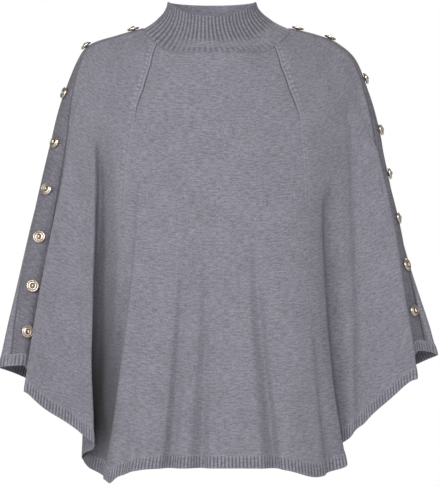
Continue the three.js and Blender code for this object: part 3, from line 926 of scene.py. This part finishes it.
def heather_group():
    """Mixed light and dark fibres along the courses of the knit. Place is in millimetres."""
    group, given, out = node_group(
        "heather yarn",
        [
            ("Place", "NodeSocketVector", None),
            ("Mean", "NodeSocketColor", (0.25, 0.24, 0.29, 1)),
            ("Dark", "NodeSocketColor", (0.18, 0.175, 0.21, 1)),
            ("Light", "NodeSocketColor", (0.36, 0.35, 0.4, 1)),
        ],
        [("Color", "NodeSocketColor"), ("Fleck", "NodeSocketFloat")],
    )
    w = Wiring(group)
    place = given.outputs["Place"]
    flecks = w.noise(place, (0.1, 0.4, 1), 3.0, 0.6)
    fibres = w.noise(place, (0.34, 0.72, 1), 2.0, 0.6)
    drift = w.noise(place, (0.02, 0.03, 1))
    mixed = w.plus(w.times(flecks, 0.5), w.times(fibres, 0.5))
    dark = w.span(mixed, 0.53, 0.37)
    light = w.span(mixed, 0.47, 0.63)
    tone = w.mix(dark, given.outputs["Mean"], given.outputs["Dark"])
    tone = w.mix(light, tone, given.outputs["Light"])
    shade = w.span(drift, 0.3, 0.7, 0.95, 1.05)
    toned = w.nodes.new("ShaderNodeVectorMath")
    toned.operation = "SCALE"
    w.plug(toned.inputs[0], tone)
    w.plug(toned.inputs["Scale"], shade)
    w.plug(out.inputs["Color"], toned.outputs[0])
    w.plug(out.inputs["Fleck"], mixed)
    return group


def jersey_group():
    """Height of plain knit: V-shaped stitches in upright columns. Place is in millimetres."""
    group, given, out = node_group(
        "jersey stitches",
        [
            ("Place", "NodeSocketVector", None),
            ("Wale", "NodeSocketFloat", JERSEY_WALE),
            ("Course", "NodeSocketFloat", JERSEY_COURSE),
        ],
        [("Height", "NodeSocketFloat")],
    )
    w = Wiring(group)
    place = given.outputs["Place"]
    warp = w.noise(place, (0.2, 0.2, 1), 1.0)
    u, v = w.split(place)
    u = w.plus(u, w.times(warp, 1.6))
    v = w.plus(v, w.times(warp, 1.1))
    wale = w.math("FRACT", w.math("DIVIDE", u, given.outputs["Wale"]))
    from_middle = w.size(w.less(wale, 0.5))
    leg = w.wave(from_middle)
    loop = w.wave(w.plus(w.math("DIVIDE", v, given.outputs["Course"]), from_middle))
    bulge = w.plus(w.times(loop, 0.35), 0.65)
    w.plug(out.inputs["Height"], w.times(leg, bulge))
    return group


HEATHER = heather_group()
JERSEY = jersey_group()


def new_material(name, roughness, sheen):
    """A material, the means to wire it and its shader."""
    material = bpy.data.materials.new(name)
    material.use_nodes = True
    w = Wiring(material.node_tree)
    shader = w.nodes["Principled BSDF"]
    shader.inputs["Roughness"].default_value = roughness
    shader.inputs["Sheen Weight"].default_value = sheen
    shader.inputs["Sheen Roughness"].default_value = 0.5
    return material, w, shader


def cloth_place(w):
    """Place on the cloth: millimetres across and down it."""
    node = w.nodes.new("ShaderNodeUVMap")
    node.uv_map = "cloth"
    return node.outputs[0]


def kept_value(w, name):
    """A number that is kept on the mesh's points."""
    node = w.nodes.new("ShaderNodeAttribute")
    node.attribute_name = name
    return node.outputs["Fac"]


def object_place(w):
    """Place in the object's own space, in metres."""
    return w.nodes.new("ShaderNodeTexCoord").outputs["Object"]


def raise_bump(w, shader, height, distance):
    """Raises fine relief. distance is the relief's height in millimetres."""
    bump = w.nodes.new("ShaderNodeBump")
    w.plug(bump.inputs["Height"], height)
    bump.inputs["Distance"].default_value = distance * MM
    bump.inputs["Strength"].default_value = 1.0
    w.plug(shader.inputs["Normal"], bump.outputs["Normal"])


def grey(value):
    """A heather grey-violet of this lightness."""
    return (value * 0.985, value * 0.95, value * 1.12, 1)


def jersey_material():
    """Fine jersey, with the crisp shaping line and its eyelet marks on the shoulders, a painted
    shadow along its edges by the plackets and painted shade in the deep folds.
    """
    material, w, shader = new_material("heather jersey", 0.92, 0.15)
    place = cloth_place(w)
    heather = w.place(HEATHER, Place=place, Mean=grey(0.262), Dark=grey(0.185), Light=grey(0.345))
    stitches = w.place(JERSEY, Place=place)["Height"]
    line = kept_value(w, "shaping")
    fall = kept_value(w, "fall")
    down = w.split(place)[1]
    strong = w.span(fall, 0.21, 0.12)
    faint = w.times(w.span(fall, 0.42, 0.34), 0.55)
    along = w.math("MAXIMUM", strong, faint)
    crease = w.times(w.span(w.size(line), 1.7, 0.3), strong)
    cord = w.times(w.span(w.size(w.less(line, CORD_DISTANCE)), 1.8, 0.6), along)
    marks = w.span(w.wave(down, EYELET_PITCH), 0.1, 0.8)
    eyelet_band = w.span(w.size(w.less(line, EYELET_DISTANCE)), 3.2, 1.4)
    eyelets = w.times(w.times(eyelet_band, marks), along)
    # Painted shadow: a dark line along the panel's edges beside the plackets, from below the
    # shoulders down.
    rim = w.times(w.span(kept_value(w, "rim"), 5.0, 0.4), w.span(fall, 0.12, 0.3))
    seam = w.span(fall, 0.0045, 0.002)
    color = w.mix(w.times(rim, 0.75), heather["Color"], grey(0.05))
    color = w.mix(w.times(seam, 0.3), color, grey(0.05))
    color = w.mix(w.times(crease, 0.7), color, grey(0.06))
    color = w.mix(w.times(cord, 0.5), color, grey(0.42))
    color = w.mix(w.times(eyelets, 0.6), color, grey(0.45))
    color = w.mix(kept_value(w, "shade"), color, grey(0.015))
    w.plug(shader.inputs["Base Color"], color)
    height = w.plus(w.times(stitches, 0.45), w.times(heather["Fleck"], 0.3))
    height = w.less(height, w.times(crease, 1.6))
    height = w.plus(height, w.times(cord, 0.8))
    height = w.plus(height, w.times(eyelets, 0.5))
    raise_bump(w, shader, height, 0.55)
    return material


def rib_material():
    """Rib knit with painted shade in its grooves, and a column of stitches up each rib."""
    material, w, shader = new_material("heather rib", 0.92, 0.12)
    place = cloth_place(w)
    heather = w.place(HEATHER, Place=place, Mean=grey(0.287), Dark=grey(0.205), Light=grey(0.378))
    stitches = w.place(JERSEY, Place=place, Wale=2.7, Course=1.5)["Height"]
    # Painted shade from the groove values darkens the yarn.
    deep = w.span(kept_value(w, "groove"), 0.15, 0.85)
    color = w.mix(w.times(deep, 0.74), heather["Color"], grey(0.065))
    w.plug(shader.inputs["Base Color"], color)
    height = w.plus(w.times(stitches, 0.4), w.times(heather["Fleck"], 0.3))
    raise_bump(w, shader, height, 0.5)
    return material


def placket_material():
    """A firm band of tight fine ribs with a stitched groove beside each edge. Its yarn is a darker
    copy of the jersey's, as painted shade under the front's overhang, and painted shade darkens the
    grooves at each stitch.
    """
    material, w, shader = new_material("heather placket", 0.92, 0.1)
    place = cloth_place(w)
    # A darker copy of the jersey yarn, as painted shade under the front's overhang.
    heather = w.place(HEATHER, Place=place, Mean=grey(0.185), Dark=grey(0.135), Light=grey(0.26))
    across, down = w.split(place)
    ribs = w.wave(across, PLACKET_RIB_PITCH)
    stitches = w.place(JERSEY, Place=place, Wale=PLACKET_RIB_PITCH, Course=1.2)["Height"]
    pulled = w.span(w.wave(down, SEWING_PITCH), -0.2, 0.4, 0.5, 1.0)
    sewn = w.times(kept_value(w, "groove"), pulled)
    # Painted shade in the stitched grooves, deepest at each pulled stitch.
    color = w.mix(w.times(sewn, 0.8), heather["Color"], grey(0.05))
    w.plug(shader.inputs["Base Color"], color)
    height = w.plus(w.times(ribs, 0.3), w.times(stitches, 0.35))
    height = w.less(height, w.times(sewn, 0.9))
    raise_bump(w, shader, height, 0.5)
    return material


def thread_material():
    """Twisted sewing thread."""
    material, w, shader = new_material("sewing thread", 0.8, 0.1)
    strands = w.noise(object_place(w), (1400, 1400, 1400))
    w.plug(shader.inputs["Base Color"], w.mix(strands, grey(0.13), grey(0.26)))
    raise_bump(w, shader, strands, 0.3)
    return material


def gold_material():
    """Polished pale gold, dark and dull where the relief is sunk, with painted shadow round its foot
    where it meets the cloth.
    """
    material, w, shader = new_material("pale gold", 0.2, 0.0)
    place = object_place(w)
    recess = kept_value(w, "recess")
    cloud = w.noise(place, (260, 260, 260), 3.0)
    scuffs = w.noise(place, (900, 300, 900), 3.0, 0.7)
    # Darker in the sunk channels, and painted shadow round the foot.
    sunk_dark_and_base_shadow = w.math("MULTIPLY", recess, w.span(cloud, 0.2, 0.8, 0.75, 1.0), clamp=True)
    gold = w.mix(w.span(cloud, 0.35, 0.7), (0.86, 0.71, 0.58, 1), (0.95, 0.84, 0.73, 1))
    w.plug(shader.inputs["Base Color"], w.mix(sunk_dark_and_base_shadow, gold, (0.02, 0.011, 0.008, 1)))
    shader.inputs["Metallic"].default_value = 1.0
    rough = w.plus(w.span(scuffs, 0.45, 0.75, 0.22, 0.38), w.times(sunk_dark_and_base_shadow, 0.25))
    w.plug(shader.inputs["Roughness"], rough)
    raise_bump(w, shader, scuffs, 0.03)
    return material


def floor_material():
    """Pale and nearly even."""
    material, w, shader = new_material("pale floor", 0.9, 0.0)
    cloud = w.noise(object_place(w), (0.8, 0.8, 0.8))
    w.plug(shader.inputs["Base Color"], w.mix(cloud, (0.8, 0.8, 0.8, 1), (0.86, 0.86, 0.86, 1)))
    return material


jersey, rib, placket_knit = jersey_material(), rib_material(), placket_material()
thread, gold = thread_material(), gold_material()


def finish_piece(piece, material, slot, *nodes):
    """Gives a piece its material and its place in the frame."""
    piece.data.materials.append(material)
    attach(piece, "root")
    if nodes:
        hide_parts(*nodes)
    return piece


left_share = placket_share("left", 1.0)
right_share = placket_share("right", 1.0)

front = finish_piece(front_panel(), jersey, "knit", "front")
back = finish_piece(back_panel(), jersey, "knit", "back")
collar = finish_piece(collar_tube(), rib, "rib_knit", "collar")
front_hem = hem_band("front_hem_rib", -1 - left_share, 1 + right_share, True)
back_hem = hem_band("back_hem_rib", 1 - right_share, 3 + left_share, False)
finish_piece(front_hem, rib, "rib_knit", "hem_front")
finish_piece(back_hem, rib, "rib_knit", "hem_back")

plackets = {}
for side in ("left", "right"):
    strip = finish_piece(placket_strip(side), placket_knit, "placket_knit", "placket_" + side)
    holes = stitched_rings("buttonholes_" + side, side, 8.6, 1.6, 0.55, 0.35)
    finish_piece(holes, thread, "placket_knit")
    wraps = stitched_rings("button_threads_" + side, side, 0.0, 2.6, 0.5, 0.4)
    finish_piece(wraps, thread, "placket_knit")
    plackets[side] = (strip, holes, wraps)
    for i, fall in enumerate(BUTTON_FALLS[side], start=1):
        node = "button_%s_%d" % (side, i)
        finish_piece(button_piece(node + "_metal", side, fall), gold, "button_metal", node)

for side, length in (("left", 0.61), ("right", 0.57)):
    strip, holes, wraps = plackets[side]


# Floor, light and camera.
def floor():
    """A round floor below the garment."""
    bm = bmesh.new()
    bmesh.ops.create_circle(bm, cap_ends=True, radius=3.4, segments=96)
    bmesh.ops.translate(bm, vec=(0, 0, FLOOR_Z), verts=bm.verts[:])
    piece = add_to_scene("floor", mesh_of("floor", bm))
    piece.data.materials.append(floor_material())


def soft_light(name, spot, size, power):
    """A round lamp aimed at the middle of the garment."""
    lamp = bpy.data.lights.new(name, "AREA")
    lamp.shape = "DISK"
    lamp.size = size
    lamp.energy = power
    holder = add_to_scene(name, lamp)
    holder.location = spot
    aim = Vector((0, 0, VIEW_Z)) - Vector(spot)
    holder.rotation_euler = aim.to_track_quat("-Z", "Y").to_euler()


def white_room():
    """Soft light from all round, seen as white behind the garment."""
    world = bpy.data.worlds.new("white room")
    world.use_nodes = True
    bpy.context.scene.world = world
    w = Wiring(world.node_tree)
    background = w.nodes["Background"]
    background.inputs["Color"].default_value = (1, 1, 1, 1)
    seen = w.nodes.new("ShaderNodeLightPath").outputs["Is Camera Ray"]
    w.plug(background.inputs["Strength"], w.span(seen, 0.0, 1.0, 0.22, 1.0))


def photo_camera():
    """The camera at the photo's view, level with the middle of the garment."""
    data = bpy.data.cameras.new("camera")
    data.sensor_width = CAMERA_SENSOR
    data.lens = CAMERA_SENSOR * CAMERA_DISTANCE / VIEW_HEIGHT
    camera = add_to_scene("camera", data)
    camera.location = (VIEW_X, -CAMERA_DISTANCE, VIEW_Z)
    camera.rotation_euler = (math.radians(90), 0, 0)
    bpy.context.scene.camera = camera


floor()
white_room()
soft_light("key light", (-0.3, -4.0, 1.6), 1.8, 94)
soft_light("fill light", (2.2, -3.0, 0.7), 2.0, 12)
soft_light("side light", (-2.6, -2.8, 0.7), 2.0, 33)
soft_light("back light", (0.4, 3.0, 1.6), 2.0, 70)
photo_camera()
bpy.context.scene.view_settings.view_transform = "Standard"
